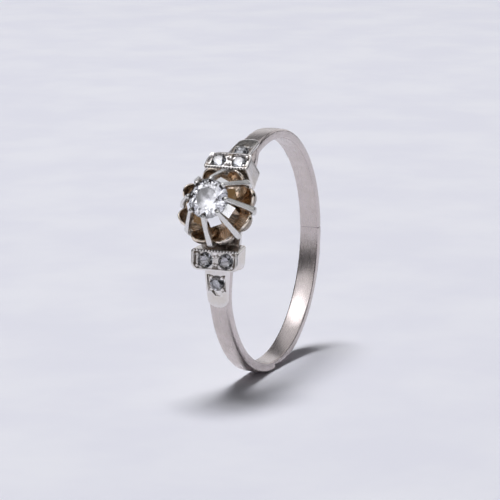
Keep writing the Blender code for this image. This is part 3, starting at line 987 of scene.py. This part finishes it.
def claw():
    """A flat-faced strip with slightly rounded edges whose beaded tip curls down over the stone."""
    path = smooth_path([Vector(p) for p in (*CLAW_PATH, *CLAW_TIP)], 5)
    rings = []
    for i, (r, h, width) in enumerate(path):
        before, after = path[max(i - 1, 0)], path[min(i + 1, len(path) - 1)]
        along = Vector((after[0] - before[0], 0, after[1] - before[1])).normalized()
        across = Vector((along.z, 0, -along.x))
        left = (len(path) - 1 - i) / 6
        start = min(1.0, 0.9 + i / 10)
        tip = math.sqrt(max(0.06, 1 - (1 - min(left, 1.0)) ** 2)) * start
        half, side, soft = CLAW_THICKNESS / 2 * tip, width / 2 * tip, 0.05 * tip
        outline = []
        corners = (((half, -side), 270), ((half, side), 0), ((-half, side), 90), ((-half, -side), 180))
        for (x, y), turn in corners:
            middle = (x - math.copysign(soft, x), y - math.copysign(soft, y))
            outline += arc(middle, soft, turn, turn + 90, 3)
        rings.append([Vector((r, 0, h)) + across * n + Vector((0, y, 0)) for n, y in outline])
    mesh = with_details(mesh_of(loft(rings)), bead(CLAW_BEAD_RADIUS, CLAW_BEAD_PLACE, 0.95, 8, 16))

    def share_at(index, point):
        """The tip's inner part, where it meets the stone, is painted dark as painted shade."""
        return 1.6 * eased((CLAW_TIP_SHADE_REACH - point.x) / 0.08)

    return shade_and_rub_marked(mesh, share_at)


def marked_top(mesh):
    """The same mesh with an attribute that is 1 on its highest, flat facet."""
    heights = np.array([v.co.z for v in mesh.vertices])
    attribute = mesh.attributes.new("top", "FLOAT", "POINT")
    attribute.data.foreach_set("value", (heights > heights.max() - 0.01).astype(np.float32))
    return mesh


def brilliant():
    """An old round cut: table, star and main facets above the girdle, mains below it and a blunt culet."""
    half = PITCH / 2
    star_radius = 0.5 * (TABLE_RADIUS + GIRDLE_RADIUS)
    slope = (TABLE_HEIGHT - GIRDLE_HIGH) / (GIRDLE_RADIUS - TABLE_RADIUS)
    star_height = GIRDLE_HIGH + (GIRDLE_RADIUS - star_radius * math.cos(half)) * slope
    low_radius = 0.5 * GIRDLE_RADIUS
    low_slope = (GIRDLE_LOW - CULET_HEIGHT) / (GIRDLE_RADIUS - CULET_RADIUS)
    low_height = GIRDLE_LOW - (GIRDLE_RADIUS - low_radius * math.cos(half)) * low_slope
    points = ring_points(TABLE_RADIUS, TABLE_HEIGHT, PETALS)
    points += ring_points(star_radius, star_height, PETALS, half)
    points += ring_points(GIRDLE_RADIUS, GIRDLE_HIGH, 2 * PETALS)
    points += ring_points(GIRDLE_RADIUS, GIRDLE_LOW, 2 * PETALS)
    points += ring_points(low_radius, low_height, PETALS, half)
    points += ring_points(CULET_RADIUS, CULET_HEIGHT, PETALS)
    return marked_top(mesh_of(hull(points)))


def small_stone(radius, height, base, turn=0.0):
    """A low rose cut: flat base, steep lower facets and a shallow crown worn to a small flat top."""
    points = ring_points(radius, base, 16)
    points += ring_points(radius, base + 0.12 * height, 16)
    points += ring_points(0.88 * radius, base + 0.60 * height, 8, turn + math.radians(22.5))
    points += ring_points(0.60 * radius, base + 0.97 * height, 8, turn)
    return marked_top(mesh_of(hull(points)))


# ---------------------------------------------------------------- the ring's pieces

for side, end in (("upper", UPPER_ARM_END), ("lower", LOWER_ARM_END)):
    name = f"{side}_arm"
    shape = arm(end, flared=side == "upper")
    piece(f"{name}_detailed", shape, SIDES[side], shank_gold, "shank_gold", [name], along_band)
piece("sizing_insert_detailed", insert(), HEAD, shank_gold, "shank_gold", ["sizing_insert"], along_band)

for side, matrix in SIDES.items():
    name = f"{side}_shoulder"
    piece(f"{name}_detailed", shoulder(), matrix, setting_gold, "setting_gold", [name], along_band)
    cut = small_stone(SHOULDER_STONE_RADIUS + 0.03, 0.42, 9.37, 0.3)
    seat = matrix @ shoulder_seat()
    piece(f"{name}_rose_cut", cut, seat, grey_stone, "diamond", [f"{name}_diamond"], flat=True)
    name = f"{side}_block"
    seat = matrix @ Matrix.Translation((0, BLOCK_DRIFT, 0)) @ leaning(BLOCK_ANGLE)
    piece(f"{name}_detailed", block(side), seat, setting_gold, "setting_gold", [name])
    for place, offset, turn in (("left", BLOCK_STONE_OFFSET, 0.2), ("right", -BLOCK_STONE_OFFSET, 0.5)):
        cut = small_stone(BLOCK_STONE_RADIUS, 0.46, BLOCK_STONE_BASE, turn)
        own = seat @ Matrix.Translation((0, offset, 0))
        nodes = [f"{name}_diamond_{place}"]
        piece(f"{name}_rose_cut_{place}", cut, own, grey_stone, "diamond", nodes, flat=True)

piece("bridge_detailed", bridge(), HEAD, setting_gold, "setting_gold", ["bridge"], along_band)
piece("base_ring_detailed", base_ring(), HEAD, setting_gold, "setting_gold", ["base_ring"], round_head)
piece("fluted_cup", cup(), HEAD, cup_gold, "cup_gold", ["cup"], round_head, 50)
piece("bright_collet", collet(), HEAD, collet_gold, "setting_gold", ["illusion_collet"], round_head, 12)
for index in range(PETALS):
    turn = HEAD @ Matrix.Rotation(index * PITCH, 4, "Z")
    piece(f"claw_{index + 1}_detailed", claw(), turn, claw_gold, "setting_gold", [f"claw_{index + 1}"])
piece("old_cut_diamond", brilliant(), HEAD, clear_stone, "diamond", ["centre_diamond"], flat=True)


# ---------------------------------------------------------------- where metal is sheltered or worn


SHELTER_RAYS = 18
SHELTER_REACH = 1.3
EDGE_BEND = 0.5


def metal_surface():
    """Points and faces of every metal piece together."""
    points, faces = [], []
    for obj in METALS:
        start = len(points)
        points += [v.co / MM for v in obj.data.vertices]
        faces += [tuple(start + i for i in f.vertices) for f in obj.data.polygons]
    return points, faces


def ray_fan():
    """Directions spread evenly over most of the half space along Z."""
    golden = math.pi * (3 - math.sqrt(5))
    rays = []
    for i in range(SHELTER_RAYS):
        z = 1 - 0.9 * (i + 0.5) / SHELTER_RAYS
        r = math.sqrt(1 - z * z)
        rays.append(Vector((r * math.cos(golden * i), r * math.sin(golden * i), z)))
    return rays


def shelter_of(mesh, tree, rays):
    """How much of each vertex's surroundings is closed in by near metal."""
    sheltered = np.zeros(len(mesh.vertices), np.float32)
    for i, vertex in enumerate(mesh.vertices):
        turn = vertex.normal.to_track_quat("Z", "Y")
        origin = vertex.co / MM + vertex.normal * 0.02
        closed = 0.0
        for ray in rays:
            place, _, _, distance = tree.ray_cast(origin, turn @ ray, SHELTER_REACH)
            if place is not None:
                closed += 1 - 0.5 * distance / SHELTER_REACH
        sheltered[i] = closed / len(rays)
    return sheltered


def convexity_of(mesh):
    """How sharply the surface bends outwards at each vertex, up to 1."""
    bm = bmesh.new()
    bm.from_mesh(mesh)
    convex = np.zeros(len(mesh.vertices), np.float32)
    for vertex in bm.verts:
        bends = [e.calc_face_angle_signed(0.0) for e in vertex.link_edges if len(e.link_faces) == 2]
        convex[vertex.index] = min(1.0, max(0.0, max(bends, default=0.0) / EDGE_BEND))
    bm.free()
    return convex


def wear_attributes():
    """Every metal piece's shelter and edge attributes, which its material reads."""
    tree = BVHTree.FromPolygons(*metal_surface(), epsilon=0.0)
    rays = ray_fan()
    for obj in METALS:
        shares = {"shelter": shelter_of(obj.data, tree, rays), "edge": convexity_of(obj.data)}
        for name, values in shares.items():
            obj.data.attributes.new(name, "FLOAT", "POINT").data.foreach_set("value", values)


wear_attributes()


# ---------------------------------------------------------------- stage, camera and light

FLOOR_M = cad_bounds[0][2]
CAMERA_AZIMUTH = -67.0
CAMERA_ELEVATION = 11.77
CAMERA_DISTANCE_M = 0.2046
CAMERA_LENS = 193.2
CAMERA_SHIFT = -0.0328
LAMP_COLOUR = (0.96, 0.965, 1.0)


def stage_floor():
    """A plain pale floor that the ring stands on."""
    bm = bmesh.new()
    level = Matrix.Translation((0, 0, FLOOR_M))
    bmesh.ops.create_grid(bm, x_segments=8, y_segments=8, size=2.0, matrix=level)
    mesh = bpy.data.meshes.new("floor")
    bm.to_mesh(mesh)
    bm.free()
    material, tree, surface = shader("floor")
    place = tree.nodes.new("ShaderNodeTexCoord").outputs["Object"]
    cloud = stretched_noise(tree, place, (1, 1, 1), 90.0, 3.0)
    pale = tinted(tree, ranged(tree, cloud, 0.3, 0.75), (0.80, 0.80, 0.86), (0.85, 0.85, 0.89))
    tree.links.new(pale, surface.inputs["Base Color"])
    surface.inputs["Roughness"].default_value = 0.9
    mesh.materials.append(material)
    floor = bpy.data.objects.new("floor", mesh)
    bpy.context.scene.collection.objects.link(floor)


def towards(azimuth, elevation):
    """The direction of something seen from the ring: azimuth 0 is -Y, 90 is +X."""
    a, e = math.radians(azimuth), math.radians(elevation)
    return Vector((math.sin(a) * math.cos(e), -math.cos(a) * math.cos(e), math.sin(e)))


def set_camera():
    camera = bpy.data.objects.new("camera", bpy.data.cameras.new("camera"))
    bpy.context.scene.collection.objects.link(camera)
    back = towards(CAMERA_AZIMUTH, CAMERA_ELEVATION)
    camera.location = back * CAMERA_DISTANCE_M
    camera.rotation_euler = (-back).to_track_quat("-Z", "Y").to_euler()
    camera.data.sensor_width = 36
    camera.data.lens = CAMERA_LENS
    camera.data.shift_x = CAMERA_SHIFT
    camera.data.clip_start = 0.001
    bpy.context.scene.camera = camera


def softbox(name, azimuth, elevation, distance, size, radiance, rays=("glossy", "transmission")):
    """An area light that faces the ring: a lamp if its rays are diffuse, and a reflector if not."""
    light = bpy.data.objects.new(name, bpy.data.lights.new(name, "AREA"))
    bpy.context.scene.collection.objects.link(light)
    away = towards(azimuth, elevation)
    light.location = away * distance
    light.rotation_euler = (-away).to_track_quat("-Z", "Y").to_euler()
    light.data.shape = "RECTANGLE"
    light.data.size, light.data.size_y = size
    light.data.color = LAMP_COLOUR
    light.data.energy = radiance * math.pi * size[0] * size[1]
    light.visible_camera = False
    for kind in ("diffuse", "glossy", "transmission"):
        setattr(light, f"visible_{kind}", kind in rays)


def set_world():
    """Dim, even surroundings that are a little brighter overhead."""
    world = bpy.data.worlds.new("studio")
    bpy.context.scene.world = world
    world.use_nodes = True
    tree = world.node_tree
    direction = tree.nodes.new("ShaderNodeTexCoord").outputs["Generated"]
    split = tree.nodes.new("ShaderNodeSeparateXYZ")
    tree.links.new(direction, split.inputs[0])
    height = ranged(tree, split.outputs["Z"], -0.05, 0.75)
    colour = tinted(tree, height, (0.13, 0.13, 0.15), (0.70, 0.71, 0.76))
    tree.links.new(colour, tree.nodes["Background"].inputs["Color"])
    tree.nodes["Background"].inputs["Strength"].default_value = 0.11


stage_floor()
set_camera()
set_world()
softbox("key", azimuth=160, elevation=81, distance=1.2, size=(0.60, 0.26), radiance=26.7, rays=("diffuse",))
softbox("ceiling", azimuth=60, elevation=80, distance=1.2, size=(1.8, 1.8), radiance=0.60)
softbox("window", azimuth=-146, elevation=63, distance=0.45, size=(0.21, 0.22), radiance=2.2)
softbox("right", azimuth=-31, elevation=3, distance=0.40, size=(0.12, 0.10), radiance=0.92)
softbox("far_right", azimuth=8, elevation=14, distance=0.45, size=(0.22, 0.16), radiance=0.65)
softbox("front", azimuth=-68, elevation=52, distance=0.45, size=(0.30, 0.24), radiance=1.1)
softbox("veil", azimuth=-121, elevation=43, distance=0.45, size=(0.22, 0.22), radiance=1.0)
softbox("low_front", azimuth=-113, elevation=4, distance=0.45, size=(0.25, 0.05), radiance=0.7)
softbox("back", azimuth=97, elevation=17, distance=0.6, size=(0.8, 0.28), radiance=0.85)
softbox("stone_fill", azimuth=-85, elevation=45, distance=0.5, size=(0.8, 0.7), radiance=0.9,
        rays=("transmission",))
bpy.context.scene.view_settings.view_transform = "Standard"
